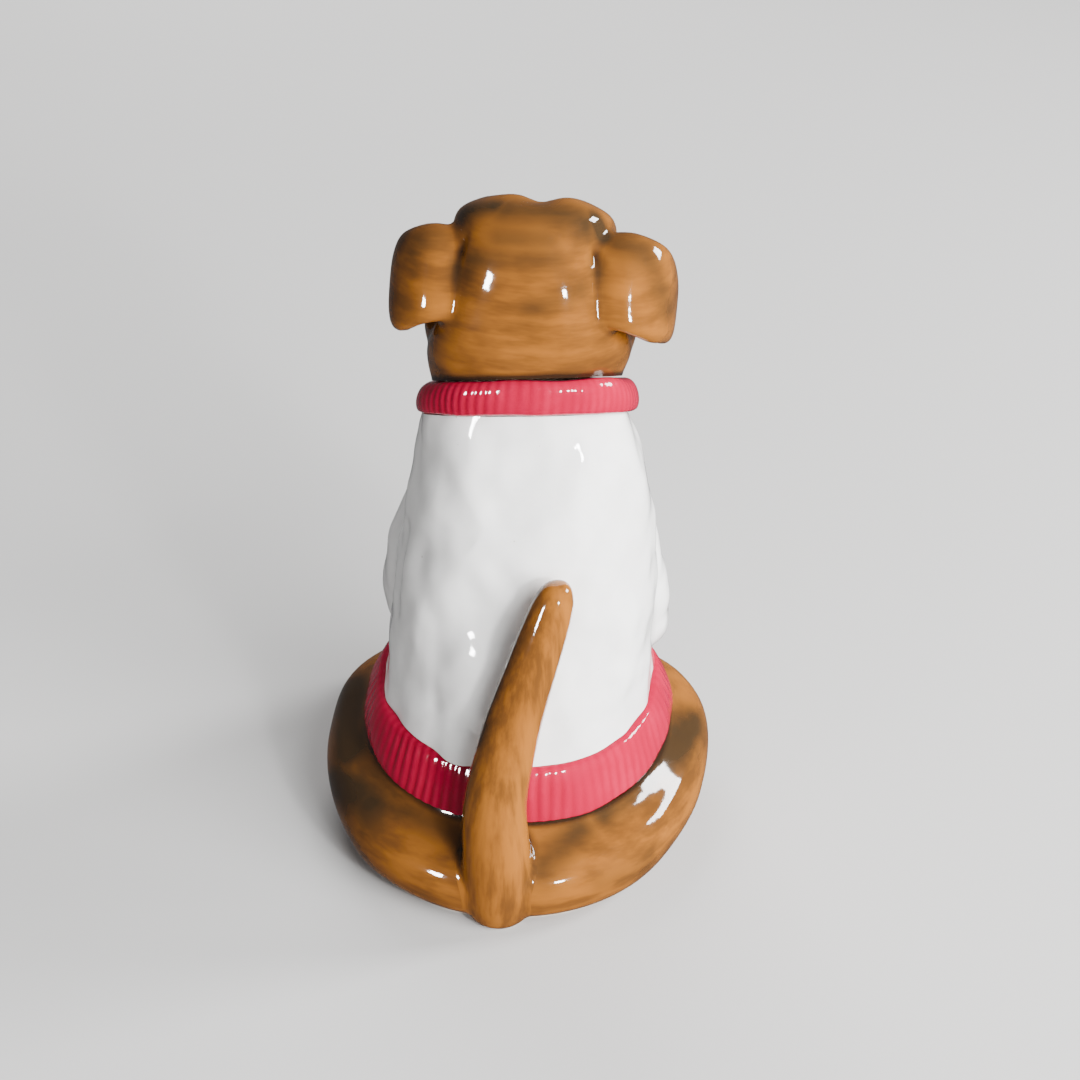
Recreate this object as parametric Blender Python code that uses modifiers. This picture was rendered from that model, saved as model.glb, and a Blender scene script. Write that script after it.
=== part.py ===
"""A sitting ceramic dog in a knitted sweater, made as a hollow coin bank with a rubber stopper in its base.

Lengths are in metres and +Z is up. The dog faces -Y and stands on z = 0, and +X is its left-hand side.
The body is a stack of tilted oval sections, from the foot ring up through the hips, the sweater's hem band,
the torso and the collar band. The head sits on the collar. Coins go in at the slot in the forehead, drop
through the neck into the body, and come out at the hole under the stopper.
"""

import math
from collections import namedtuple

import bmesh
import bpy
from mathutils import Vector

MM = 0.001

# Driving dimensions.
WALL = 4.5 * MM  # thickness of the cast ceramic
SEAM = 0.3 * MM  # gap left between pieces that touch
RING_POINTS = 40  # corners of every oval section
TUBE_POINTS = 20  # corners of a round limb's section
BAND_PROUD = 2.6 * MM  # how far the ribbed bands stand out of the sweater
COLLAR_PROUD = 2.8 * MM

FLOOR_RECESS = 3.2 * MM  # the floor lies this far above the table, inside the foot ring
FOOT_RING_WIDTH = 6.0 * MM
HOLE_RADIUS = 17.5 * MM
STOPPER_CLEARANCE = 0.4 * MM
STOPPER_FLANGE_RADIUS = 22.0 * MM
STOPPER_FLANGE = 2.2 * MM
STOPPER_HEIGHT = 9.0 * MM
STOPPER_WALL = 3.4 * MM
STOPPER_TAPER = 0.5 * MM

SLOT_WIDTH = 5.0 * MM
SLOT_LENGTH = 27.0 * MM
SLOT_BACK = -9.0 * MM  # the slot's end nearest the nape

# One oval cross-section. The height and the centre (its place along Y) are of its middle, and it stands aside
# to the left. The tilt lifts its back edge and the lean lowers its left edge, both in degrees. Front and back
# are its two half-depths.
Section = namedtuple("Section", "height centre tilt lean aside half_width front back squareness")
# One stop along an ear, which runs outwards and then forwards; the heading is its direction in plan.
EarStop = namedtuple("EarStop", "outwards centre height half_height half_thickness heading")


def millimetres(row):
    """The row with its lengths turned into metres; its angles and its squareness stay as they are."""
    lengths = ("height", "centre", "aside", "half_width", "front", "back")
    return row._replace(**{name: getattr(row, name) * MM for name in lengths})


FOOT, LOW, HAUNCH, HIP, HEM_LOW, HEM_TOP, WAIST, BACK, SHOULDER, COLLAR_LOW, COLLAR_TOP = range(11)
BODY = [
    millimetres(Section(*row))
    for row in (
        (0, -6, 0, 0, 0, 50, 40, 70.5, 2.2),
        (6, -8, 0, 0, 0, 58, 47, 78.5, 2.2),
        (16, -10, -1, 0, 0, 62, 50, 81, 2.2),
        (26.5, -10, -4.2, 0, 0, 59, 44, 76, 2.2),
        (33.8, -5, -5.1, 0, 0, 48.5, 39, 60, 2.2),
        (47.6, -2, -3.5, 0, 0, 43.5, 38, 51, 2.2),
        (71, -1, -2, 0, -0.5, 42, 38, 45, 2.2),
        (97, -1, 3, 0, -1.8, 39.8, 36, 40, 2.2),
        (120, -2, 13, 1.5, -1.6, 36.5, 34, 34, 2.2),
        (138, -3, 23, 4.5, -0.3, 31.8, 31, 29.5, 2.2),
        (148, -4, 25, 5.5, 0, 28.9, 29, 27.2, 2.2),
    )
]
# The body's stretches: where each starts and ends in BODY, and how many steps its rings are laid in.
HIPS_RINGS = (FOOT, HEM_LOW, 12)
HEM_RINGS = (HEM_LOW, HEM_TOP, 8)
TORSO_RINGS = (HEM_TOP, COLLAR_LOW, 10)
COLLAR_RINGS = (COLLAR_LOW, COLLAR_TOP, 8)
HEAD = [
    millimetres(Section(*row))
    for row in (
        (148.3, -4, 25, 5.5, 0, 28.3, 28.6, 27, 2.2),
        (157.5, -7, 24, 3, -0.5, 30.4, 32, 29.7, 2.5),
        (169, -11, 25, 1, -0.5, 26.4, 34, 30.7, 2.6),
        (182, -15, 26, 0, 0, 24, 32, 28.5, 2.6),
        (193, -18, 28, 0, -0.5, 23.3, 25, 23, 2.7),
        (198, -19.5, 28, 0, -1, 15.8, 16, 13.5, 2.7),
    )
]

HEAD_RINGS = (0, len(HEAD) - 1, 15)

# Stops along the left ear in millimetres and degrees; the right one is the same, mirrored, lower and longer.
EAR = (
    EarStop(13, -2.5, 185, 9.5, 5.5, 32),
    EarStop(19, 1.2, 185, 11, 5.8, 22),
    EarStop(27, 3.2, 185, 12.4, 5.6, -8),
    EarStop(33.5, 0.5, 181.8, 13.1, 5.2, -45),
    EarStop(36.5, -5.5, 177.8, 12.4, 4.8, -78),
    EarStop(37.5, -12.5, 172, 10.5, 4.3, -92),
    EarStop(37.5, -18, 167, 7, 3.5, -98),
    EarStop(36.5, -21.5, 164.5, 3.2, 2.5, -105),
)
EAR_ROUNDNESS = 0.65  # one would make the ear's section a true oval, and less squares it off
EAR_LEAN = 0.56  # how far the foot of an ear hangs back, for each millimetre of its height
EAR_SIDES = {"left": (1, -1.7, 1.0), "right": (-1, -1.0, 1.04)}  # side, drop in mm, reach

# Limbs: points (x for the left side, y, z) and the radius at each, in millimetres.
SLEEVE = (
    (24, -8, 112, 6),
    (27, -10, 106, 10),
    (30.5, -13, 91, 12.5),
    (33, -16, 75, 13.5),
    (33.5, -22, 58, 13.5),
    (30, -36, 44, 12),
    (24, -49, 32, 10.5),
    (23, -51.5, 27, 10),
)
CUFF = (
    (23, -51.8, 28.5, 10.5),
    (22.7, -52.6, 26.5, 12.4),
    (21.8, -54.6, 20, 12.4),
    (21.5, -55.2, 18, 10.5),
)
TAIL = (
    (-1, 61, -0.6, 7.2),
    (-1, 61.5, 2.5, 9.8),
    (-1, 63, 9, 10.9),
    (0, 64.5, 24, 10.5),
    (0.5, 62.5, 42, 9.8),
    (-2.5, 57.5, 61, 8.9),
    (-8, 52, 83, 7.8),
    (-13, 46.8, 100, 6.5),
    (-14.8, 45, 105.5, 4.9),
    (-15.4, 44.4, 107.4, 3.2),
    (-15.6, 44.2, 108.4, 1.2),
)
FOREPAW = ((20, -60.5, 8.5), (12, 14.53, 10.5))
HIND_FOOT = ((43, -50, 6), (11, 18, 8))
JOWL = ((9.5, -45, 159), (12.5, 15, 10.5))
MUZZLE_BRIDGE = ((0, -43, 166), (12, 17, 9))
CHIN = ((0, -41, 150.5), (12, 12, 7))
NOSE = ((0, -60, 168), (7, 4.5, 5))
EYE = ((12.5, -38.5, 177), (5, 5, 5.6))

COLOURS = {
    "brown_glaze": ((0.42, 0.19, 0.05), 0.08),
    "white_glaze": ((0.86, 0.85, 0.83), 0.08),
    "red_glaze": ((0.72, 0.03, 0.08), 0.08),
    "black_glaze": ((0.02, 0.015, 0.012), 0.08),
    "rubber": ((0.05, 0.05, 0.05), 0.7),
}


def clear_scene():
    for thing in list(bpy.data.objects):
        bpy.data.objects.remove(thing, do_unlink=True)


def new_collection(name):
    collection = bpy.data.collections.new(name)
    bpy.context.scene.collection.children.link(collection)
    return collection


def make_materials():
    made = {}
    for name, (colour, roughness) in COLOURS.items():
        material = bpy.data.materials.new(name)
        material.use_nodes = True
        shader = material.node_tree.nodes["Principled BSDF"]
        shader.inputs["Base Color"].default_value = (*colour, 1.0)
        shader.inputs["Roughness"].default_value = roughness
        shader.inputs["Metallic"].default_value = 0.0
        made[name] = material
    return made


def add_object(name, mesh, collection, material=None):
    made = bpy.data.objects.new(name, mesh)
    collection.objects.link(made)
    if material:
        mesh.materials.append(material)
        mesh.shade_smooth()
    return made


def mesh_from(name, bm):
    bmesh.ops.recalc_face_normals(bm, faces=bm.faces)
    mesh = bpy.data.meshes.new(name)
    bm.to_mesh(mesh)
    bm.free()
    return mesh


def signed_power(value, exponent):
    return math.copysign(abs(value) ** exponent, value)


def ring(section, grow=0.0, lift=0.0):
    """Corner points of a section, grown outwards in its own plane and lifted along its normal."""
    tilt = math.radians(section.tilt)
    slope = math.tan(math.radians(section.lean))
    points = []
    for step in range(RING_POINTS):
        angle = 2 * math.pi * step / RING_POINTS
        across = signed_power(math.cos(angle), 2 / section.squareness)
        along = signed_power(math.sin(angle), 2 / section.squareness)
        depth = (section.back if along > 0 else section.front) + grow
        x = (section.half_width + grow) * across
        y = depth * along
        points.append(
            Vector(
                (
                    section.aside + x,
                    section.centre + y * math.cos(tilt) - lift * math.sin(tilt),
                    section.height + y * math.sin(tilt) + lift * math.cos(tilt) - x * slope,
                )
            )
        )
    return points


def blend(before, start, end, after, share):
    """Catmull-Rom value between start and end."""
    square = share * share
    cube = square * share
    return 0.5 * (
        2 * start
        + (end - before) * share
        + (2 * before - 5 * start + 4 * end - after) * square
        + (3 * start - before - 3 * end + after) * cube
    )


def between(rows, place):
    """The row at a fractional place in a list of rows, on a smooth curve through them."""
    last = len(rows) - 1
    first = min(int(place), last - 1)
    near = [rows[min(max(first + step, 0), last)] for step in (-1, 0, 1, 2)]
    values = [blend(*fields, place - first) for fields in zip(*near)]
    return type(rows[0])(*values) if isinstance(rows[0], (Section, EarStop)) else tuple(values)


def spread(low, high, steps):
    return [low + (high - low) * step / steps for step in range(steps + 1)]


def loft(name, rings, closed_profile):
    """A closed solid through the rings: joined end to start, or with a flat cap at each end."""
    bm = bmesh.new()
    rows = [[bm.verts.new(point) for point in points] for points in rings]
    pairs = list(zip(rows, rows[1:]))
    if closed_profile:
        pairs.append((rows[-1], rows[0]))
    for lower, upper in pairs:
        for step, corner in enumerate(lower):
            following = (step + 1) % len(lower)
            bm.faces.new((corner, lower[following], upper[following], upper[step]))
    if not closed_profile:
        bm.faces.new(rows[0])
        bm.faces.new(rows[-1])
    return mesh_from(name, bm)


def proud(place, low, top, height):
    """How far a band stands out at a place on the body: nothing at its edges, a rounded swell between."""
    share = (place - low) / (top - low)
    if not 0 <= share <= 1:
        return 0.0
    return height * math.sin(math.pi * share) ** 0.5


def body_grow(place):
    return proud(place, HEM_LOW, HEM_TOP, BAND_PROUD) + proud(place, COLLAR_LOW, COLLAR_TOP, COLLAR_PROUD)


def wall_segment(low, top, steps):
    """Rings of a stretch of the body's wall: up the outside, then down the inside."""
    outside = []
    inside = []
    for place in spread(low, top, steps):
        lift = SEAM / 2 * ((place == low) - (place == top))
        section = between(BODY, place)
        outside.append(ring(section, body_grow(place), lift))
        inside.append(ring(section, -WALL, lift))
    return outside + inside[::-1]


def circle(radius, height):
    return ring(Section(height, 0.0, 0.0, 0.0, 0.0, radius, radius, radius, 2.0))


def make_hips():
    """The lower body with its foot ring, and a recessed floor with the stopper's hole."""
    foot = BODY[FOOT]
    outside = []
    inside = []
    for place in spread(*HIPS_RINGS):
        lift = -SEAM / 2 * (place == HEM_LOW)
        section = between(BODY, place)
        outside.append(ring(section, 0.0, lift))
        if section.height > FLOOR_RECESS + WALL + MM:
            inside.append(ring(section, -WALL, lift))
    floor_edge = between(BODY, LOW)._replace(height=FLOOR_RECESS + WALL)
    rings = [
        circle(HOLE_RADIUS, FLOOR_RECESS),
        ring(foot._replace(height=FLOOR_RECESS), -FOOT_RING_WIDTH),
        ring(foot, -FOOT_RING_WIDTH),
        *outside,
        *inside[::-1],
        ring(floor_edge, -WALL * 1.6),
        circle(HOLE_RADIUS, FLOOR_RECESS + WALL),
    ]
    return loft("hips", rings, closed_profile=True)


def make_head():
    outside = []
    inside = []
    for place in spread(*HEAD_RINGS):
        section = between(HEAD, place)
        outside.append(ring(section))
        if section.half_width > 2.5 * WALL:
            low_section = section._replace(height=section.height - WALL * place / len(HEAD))
            inside.append(ring(low_section if place else section, -WALL))
    return loft("head", inside[::-1] + outside, closed_profile=False)


def body_core(grow):
    """The whole body as one filled solid, used to trim the limbs that join it."""
    stretches = (HIPS_RINGS, HEM_RINGS, TORSO_RINGS, COLLAR_RINGS)
    places = sorted({place for stretch in stretches for place in spread(*stretch)})
    rings = [ring(between(BODY, place), body_grow(place) + grow) for place in places]
    return loft("body_core", rings, closed_profile=False)


def head_core(grow):
    rings = [ring(between(HEAD, place), grow) for place in spread(*HEAD_RINGS)]
    return loft("head_core", rings, closed_profile=False)


def make_ear(side, drop, reach):
    rings = []
    for place in spread(0, len(EAR) - 1, 10):
        stop = between(EAR, place)
        heading = math.radians(stop.heading)
        points = []
        for step in range(TUBE_POINTS):
            angle = 2 * math.pi * step / TUBE_POINTS
            thick = stop.half_thickness * signed_power(math.cos(angle), EAR_ROUNDNESS)
            rise = stop.half_height * signed_power(math.sin(angle), EAR_ROUNDNESS)
            x = (stop.outwards * reach - math.sin(heading) * thick) * side
            y = stop.centre + math.cos(heading) * thick - EAR_LEAN * rise
            z = stop.height + drop + rise
            points.append(Vector((x, y, z)) * MM)
        rings.append(points)
    return loft("ear", rings, closed_profile=False)


def make_tube(name, stops, side, collection, steps):
    """A round limb of changing thickness: a curve with a bevel, turned into a mesh with its caps welded."""
    curve = bpy.data.curves.new(name, "CURVE")
    curve.dimensions = "3D"
    curve.bevel_depth = MM
    curve.bevel_resolution = 4
    curve.use_fill_caps = True
    places = spread(0, len(stops) - 1, steps)
    spline = curve.splines.new("POLY")
    spline.points.add(steps)
    for point, place in zip(spline.points, places):
        x, y, z, radius = between(stops, place)
        point.co = (x * side * MM, y * MM, z * MM, 1.0)
        point.radius = radius
    guide = bpy.data.objects.new(name, curve)
    collection.objects.link(guide)
    bpy.context.view_layer.update()
    graph = bpy.context.evaluated_depsgraph_get()
    mesh = bpy.data.meshes.new_from_object(guide.evaluated_get(graph))
    bm = bmesh.new()
    bm.from_mesh(mesh)
    bmesh.ops.remove_doubles(bm, verts=bm.verts, dist=0.01 * MM)
    bpy.data.objects.remove(guide)
    bpy.data.curves.remove(curve)
    return mesh_from(name, bm)


def stretched(inner, end, by):
    """The end stop of a limb moved further from its neighbour by a distance in millimetres."""
    step = Vector(end[:3]) - Vector(inner[:3])
    return (*(Vector(end[:3]) + step.normalized() * by), end[3])


def fattened(stops, by):
    """A limb's stops made wider, and longer at both ends, for cutting its seat in the next piece."""
    longer = (stretched(stops[1], stops[0], by), *stops[1:-1], stretched(stops[-2], stops[-1], by))
    return tuple((x, y, z, radius + by) for x, y, z, radius in longer)


def make_egg(name, place, half_sizes, side=1, grow=0.0, segments=20, rings=12):
    """An egg shape: a sphere stretched to its half sizes. Place and sizes are in millimetres."""
    bm = bmesh.new()
    bmesh.ops.create_uvsphere(bm, u_segments=segments, v_segments=rings, radius=1.0)
    centre = Vector((place[0] * side, place[1], place[2])) * MM
    for vertex in bm.verts:
        for axis in range(3):
            vertex.co[axis] = vertex.co[axis] * (half_sizes[axis] * MM + grow) + centre[axis]
    return mesh_from(name, bm)


def make_box(name, low, high):
    bm = bmesh.new()
    bmesh.ops.create_cube(bm, size=1.0)
    for vertex in bm.verts:
        for axis in range(3):
            middle = (low[axis] + high[axis]) / 2
            vertex.co[axis] = middle + vertex.co[axis] * (high[axis] - low[axis])
    return mesh_from(name, bm)


def make_stopper_profile():
    """Half section of the stopper at +X, down its outer side: a hollow plug on a wide flange."""
    top = FLOOR_RECESS + STOPPER_HEIGHT
    under = FLOOR_RECESS - SEAM
    base = under - STOPPER_FLANGE
    neck = HOLE_RADIUS - STOPPER_CLEARANCE
    lip = neck - STOPPER_TAPER
    return (
        (0.0, under + MM),
        (lip - STOPPER_WALL, under + MM),
        (lip - STOPPER_WALL, top),
        (lip - MM, top),
        (lip, top - MM),
        (neck, under),
        (STOPPER_FLANGE_RADIUS - 0.5 * MM, under),
        (STOPPER_FLANGE_RADIUS, under - 0.6 * MM),
        (STOPPER_FLANGE_RADIUS - 0.5 * MM, base),
        (0.0, base),
    )


def make_stopper():
    bm = bmesh.new()
    corners = [bm.verts.new((x, 0.0, z)) for x, z in make_stopper_profile()]
    for start, end in zip(corners, corners[1:]):
        bm.edges.new((start, end))
    mesh = bpy.data.meshes.new("stopper")
    bm.to_mesh(mesh)
    bm.free()
    return mesh


def turn_round(thing):
    screw = thing.modifiers.new("Turn", "SCREW")
    screw.steps = RING_POINTS
    screw.render_steps = RING_POINTS
    screw.use_merge_vertices = True
    screw.merge_threshold = 0.01 * MM


def combine(thing, other, operation):
    boolean = thing.modifiers.new(operation.title(), "BOOLEAN")
    boolean.operation = operation
    boolean.object = other


def add_helper(name, mesh, helpers):
    """A solid that only cuts or joins others."""
    helper = add_object(name, mesh, helpers)
    helper.hide_render = True
    helper.display_type = "WIRE"
    return helper


def build_body(parts, finishes):
    add_object("hips", make_hips(), parts, finishes["brown_glaze"])
    stretches = (
        ("hem_band", HEM_RINGS, "red_glaze"),
        ("torso", TORSO_RINGS, "white_glaze"),
        ("collar_band", COLLAR_RINGS, "red_glaze"),
    )
    for name, rings, finish in stretches:
        mesh = loft(name, wall_segment(*rings), closed_profile=True)
        add_object(name, mesh, parts, finishes[finish])


def build_head(parts, helpers, finishes):
    head = add_object("head", make_head(), parts, finishes["brown_glaze"])
    slot_low = (-SLOT_WIDTH / 2, SLOT_BACK - SLOT_LENGTH, HEAD[2].height)
    slot_high = (SLOT_WIDTH / 2, SLOT_BACK, HEAD[-1].height + 10 * MM)
    combine(head, add_helper("slot_cutter", make_box("slot_cutter", slot_low, slot_high), helpers), "DIFFERENCE")
    skull = add_helper("head_cutter", head_core(SEAM), helpers)
    for name, (side, drop, reach) in EAR_SIDES.items():
        ear = add_object(f"ear_{name}", make_ear(side, drop, reach), parts, finishes["brown_glaze"])
        combine(ear, skull, "DIFFERENCE")
    build_face(parts, helpers, finishes, skull)


def build_face(parts, helpers, finishes, skull):
    muzzle = add_object("muzzle", make_egg("muzzle", *MUZZLE_BRIDGE), parts, finishes["brown_glaze"])
    swellings = (("jowl_left", JOWL, 1), ("jowl_right", JOWL, -1), ("chin", CHIN, 1))
    for name, shape, side in swellings:
        combine(muzzle, add_helper(name, make_egg(name, *shape, side=side), helpers), "UNION")
    combine(muzzle, skull, "DIFFERENCE")
    nose_seat = add_helper("nose_seat", make_egg("nose_seat", *NOSE, grow=SEAM), helpers)
    combine(muzzle, nose_seat, "DIFFERENCE")
    add_object("nose", make_egg("nose", *NOSE), parts, finishes["black_glaze"])
    for name, side in (("left", 1), ("right", -1)):
        eye = add_object(f"eye_{name}", make_egg("eye", *EYE, side=side), parts, finishes["black_glaze"])
        combine(eye, skull, "DIFFERENCE")


def build_limbs(parts, helpers, finishes):
    core = add_helper("body_cutter", body_core(SEAM), helpers)
    reach = 0.2
    ground = add_helper("ground", make_box("ground", (-reach, -reach, -reach), (reach, reach, 0.0)), helpers)
    tail = add_object("tail", make_tube("tail", TAIL, 1, parts, 20), parts, finishes["brown_glaze"])
    combine(tail, core, "DIFFERENCE")
    combine(tail, ground, "DIFFERENCE")
    for name, side in (("left", 1), ("right", -1)):
        sleeve = add_object(
            f"sleeve_{name}", make_tube("sleeve", SLEEVE, side, parts, 14), parts, finishes["white_glaze"]
        )
        cuff = add_object(f"cuff_{name}", make_tube("cuff", CUFF, side, parts, 6), parts, finishes["red_glaze"])
        paw = add_object(f"forepaw_{name}", make_egg("forepaw", *FOREPAW, side=side), parts, finishes["brown_glaze"])
        foot = add_object(
            f"hind_foot_{name}", make_egg("hind_foot", *HIND_FOOT, side=side), parts, finishes["brown_glaze"]
        )
        seat_mesh = make_tube("cuff_seat", fattened(CUFF, SEAM / MM), side, parts, 6)
        seat = add_helper(f"cuff_seat_{name}", seat_mesh, helpers)
        for limb in (sleeve, paw):
            combine(limb, seat, "DIFFERENCE")
        for limb in (sleeve, cuff, paw, foot):
            combine(limb, core, "DIFFERENCE")
        for limb in (paw, foot):
            combine(limb, ground, "DIFFERENCE")


def main():
    clear_scene()
    parts = new_collection("dog_coin_bank")
    helpers = new_collection("cutters")
    finishes = make_materials()
    build_body(parts, finishes)
    build_head(parts, helpers, finishes)
    build_limbs(parts, helpers, finishes)
    turn_round(add_object("stopper", make_stopper(), parts, finishes["rubber"]))


main()
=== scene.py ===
"""A ceramic dog coin bank as it is seen: sculpted, glazed pieces, a rubber stopper, a stage and a camera.

Lengths are in metres and +Z is up. The dog faces -Y and sits on z = 0, and +X is its left-hand side.
The head, the sweater and the hindquarters are each melted into one skin of clay from simple solids, so that
what is joined to them flows in with a fillet. The skin is then cut into the pieces that the bank is made of.
"""

import math
from collections import namedtuple

import bmesh
import bpy
import numpy as np
from mathutils import Matrix, Vector, kdtree, noise


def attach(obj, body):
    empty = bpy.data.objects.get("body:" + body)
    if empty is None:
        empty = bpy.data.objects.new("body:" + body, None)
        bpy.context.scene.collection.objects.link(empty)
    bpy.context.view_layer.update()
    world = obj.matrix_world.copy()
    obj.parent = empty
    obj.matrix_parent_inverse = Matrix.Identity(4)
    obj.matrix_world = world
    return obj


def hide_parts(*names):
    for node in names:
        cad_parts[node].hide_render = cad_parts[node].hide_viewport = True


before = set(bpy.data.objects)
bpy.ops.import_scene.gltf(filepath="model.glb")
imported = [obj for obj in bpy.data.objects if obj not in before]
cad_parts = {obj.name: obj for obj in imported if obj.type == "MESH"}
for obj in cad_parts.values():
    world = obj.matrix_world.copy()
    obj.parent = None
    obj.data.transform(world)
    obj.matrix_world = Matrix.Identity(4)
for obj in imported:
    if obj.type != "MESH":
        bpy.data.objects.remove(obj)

bl_info = {
    "name": "Ceramic Dog Coin Bank",
    "version": (1, 0, 0),
    "blender": (4, 5, 0),
    "location": "View3D > Sidebar > Coin Bank",
    "description": "Builds a glazed ceramic coin bank in the shape of a sitting dog",
    "category": "Add Mesh",
}

MM = 0.001

# Sizes that the solids of the bank share.
WALL = 4.5 * MM  # thickness of the cast ceramic
BAND_PROUD = 2.6 * MM  # how far the hem stands out of the sweater
COLLAR_PROUD = 2.8 * MM
FLOOR_RECESS = 3.2 * MM
FOOT_RING_WIDTH = 6.0 * MM
HOLE_RADIUS = 17.5 * MM
SLOT_WIDTH = 5.0 * MM
SLOT_LENGTH = 27.0 * MM
SLOT_BACK = -9.0 * MM
BEYOND = 40 * MM  # how far a cutting solid reaches past what it cuts
ABOVE_HIPS = 90 * MM
BELOW_NECK = 8 * MM
BELOW_FOOT = 6 * MM
ABOVE_SLOT = 20 * MM
BELOW_CAVITY = 2 * MM
HOLE_REACH = (1 * MM, 15 * MM)  # the heights between which the hole is cut
GROUND = ((-0.1, -0.1, -0.05), (0.1, 0.1, 0.0))
NARROWEST = 2.5 * WALL  # the crown is left solid where it is narrower than this to each side
FLOOR_EDGE = 1.6 * WALL  # how far the edge of the inner floor is from the outside

# How finely the solids are drawn: the corners of a section, and the sections along a solid.
RING_POINTS = 144
LIMB_POINTS = 40
SEAM_POINTS = 360
RIB_POINTS = 8
HEAD_RINGS = 50
TORSO_RINGS = 70
HOLLOW_RINGS = 40
HIPS_RINGS = 60
CAVITY_RINGS = 30
LIMB_RINGS = 60
EAR_RINGS = 40
BALL_DIVISIONS = 4
BAND_RINGS = 30
BAND_INNER_RINGS = 4
CUFF_RINGS = 24

# How the clay is worked.
SMOOTHING = 0.5  # share of the way that one smoothing pass moves a corner
RELAXED = 60  # smoothing passes that take every crease out of a skin, to find where its creases are
CREASE_DEPTH = 0.9 * MM  # a crease this deep is fully dark
PAW_CREASE_DEPTH = 0.5 * MM
SLOT_ROUNDING = 3  # smoothing passes over the edges of the coin slot
PAW_ROUNDING = 2
PAW_GRAIN = 0.6  # grain of the forepaws beside that of the skins
SHARPEST = math.radians(50)  # edges sharper than this stay sharp
BUMP_LOSS = 0.5  # keeps the bumps from making a piece larger
RIB_DRIFT = 0.9  # how far ribs wander, in ribs
COLLAR_RIB_SHARE = 0.5  # how deep the collar's ribs are beside those of the hem
BAND_ROUNDNESS = 0.5  # one would make the outside of a band a plain swell, and less squares it off
CUFF_ROUNDNESS = 0.42
CUFF_EDGE = 0.04

# Colours and looks that no setting holds.
CLAY = ((0.60, 0.52, 0.43, 1.0), (0.78, 0.72, 0.64, 1.0))
GREY_WHITE = (0.74, 0.73, 0.72, 1.0)
# Grey of the sweater's creases and folds: pooled glaze and painted shade.
POOLED_AND_SHADED_WHITE = (0.36, 0.34, 0.34, 1.0)
PINHOLE = (0.25, 0.21, 0.17, 1.0)
PALE_RED = (0.50, 0.012, 0.055, 1.0)
BROWN_BLACK = (0.035, 0.02, 0.014, 1.0)
RUBBER = ((0.018, 0.018, 0.019, 1.0), (0.05, 0.05, 0.052, 1.0))
BRUSHES = {  # how the strokes of each brown glaze are turned, and how many there are to the metre each way
    "head_glaze": ((0.0, 0.12, 0.0), (32.0, 46.0, 170.0)),
    "hip_glaze": ((0.0, -0.3, 0.2), (40.0, 60.0, 210.0)),
    "tail_glaze": ((0.1, 0.1, 0.0), (300.0, 300.0, 34.0)),
}
REFRACTION = 1.52
RELIEF = 0.5  # strength of the small relief of every glaze
SKY = (0.80, 0.82, 0.86, 1.0)
SKY_STRENGTH = 0.14

# One oval cross-section: height and centre (along Y) of its middle, tilt (back edge up) and lean (left edge
# down) in degrees, how far it stands aside to the left, and its half-width and two half-depths.
Section = namedtuple("Section", "height centre tilt lean aside half_width front back squareness")
# One stop along an ear, which runs outwards and then forwards; the heading is its direction in plan.
EarStop = namedtuple("EarStop", "outwards centre height half_height half_thickness heading")
# A groove or swelling pressed into clay along a line. A negative depth pushes the clay outwards.
Stroke = namedtuple("Stroke", "start end width depth")
# A line along a section of the body where glaze pools against the next piece, and shade is painted there.
Seam = namedtuple("Seam", "section reach amount")
# Soft bumps over clay: their size, their depth as a share of the unevenness that is set, and their seed.
Bumps = namedtuple("Bumps", "size share seed")
# A rectangular light: the setting of its power and its share of that, and if it fills in and is mirrored.
Softbox = namedtuple("Softbox", "name place size power share fills mirrored")


def millimetres(row):
    """The row with its lengths turned into metres; its angles and its squareness stay as they are."""
    lengths = ("height", "centre", "aside", "half_width", "front", "back")
    return row._replace(**{name: getattr(row, name) * MM for name in lengths})


# The body's sections from the foot up, and the places in the list where its pieces meet.
FOOT, LOW, HEM_LOW, HEM_TOP, COLLAR_LOW, COLLAR_TOP = 0, 1, 4, 5, 9, 10
BODY = [
    millimetres(Section(*row))
    for row in (
        (0, -6, 0, 0, 0, 50, 40, 70.5, 2.2),
        (6, -8, 0, 0, 0, 58, 47, 78.5, 2.2),
        (16, -10, -1, 0, 0, 62, 50, 81, 2.2),
        (26.5, -10, -4.2, 0, 0, 59, 44, 76, 2.2),
        (33.8, -5, -5.1, 0, 0, 48.5, 39, 60, 2.2),
        (47.6, -2, -3.5, 0, 0, 43.5, 38, 51, 2.2),
        (71, -1, -2, 0, -0.5, 42, 38, 45, 2.2),
        (97, -1, 3, 0, -1.8, 39.8, 36, 40, 2.2),
        (120, -2, 13, 1.5, -1.6, 36.5, 34, 34, 2.2),
        (138, -3, 23, 4.5, -0.3, 31.8, 31, 29.5, 2.2),
        (148, -4, 25, 5.5, 0, 28.9, 29, 27.2, 2.2),
    )
]
HEAD = [
    millimetres(Section(*row))
    for row in (
        (148.3, -4, 25, 5.5, 0, 28.3, 28.6, 27, 2.2),
        (157.5, -7, 24, 3, -0.5, 30.4, 32, 29.7, 2.5),
        (169, -11, 25, 1, -0.5, 26.4, 34, 30.7, 2.6),
        (182, -15, 26, 0, 0, 24, 32, 28.5, 2.6),
        (193, -18, 28, 0, -0.5, 23.3, 25, 23, 2.7),
        (198, -19.5, 28, 0, -1, 15.8, 16, 13.5, 2.7),
    )
]
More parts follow.
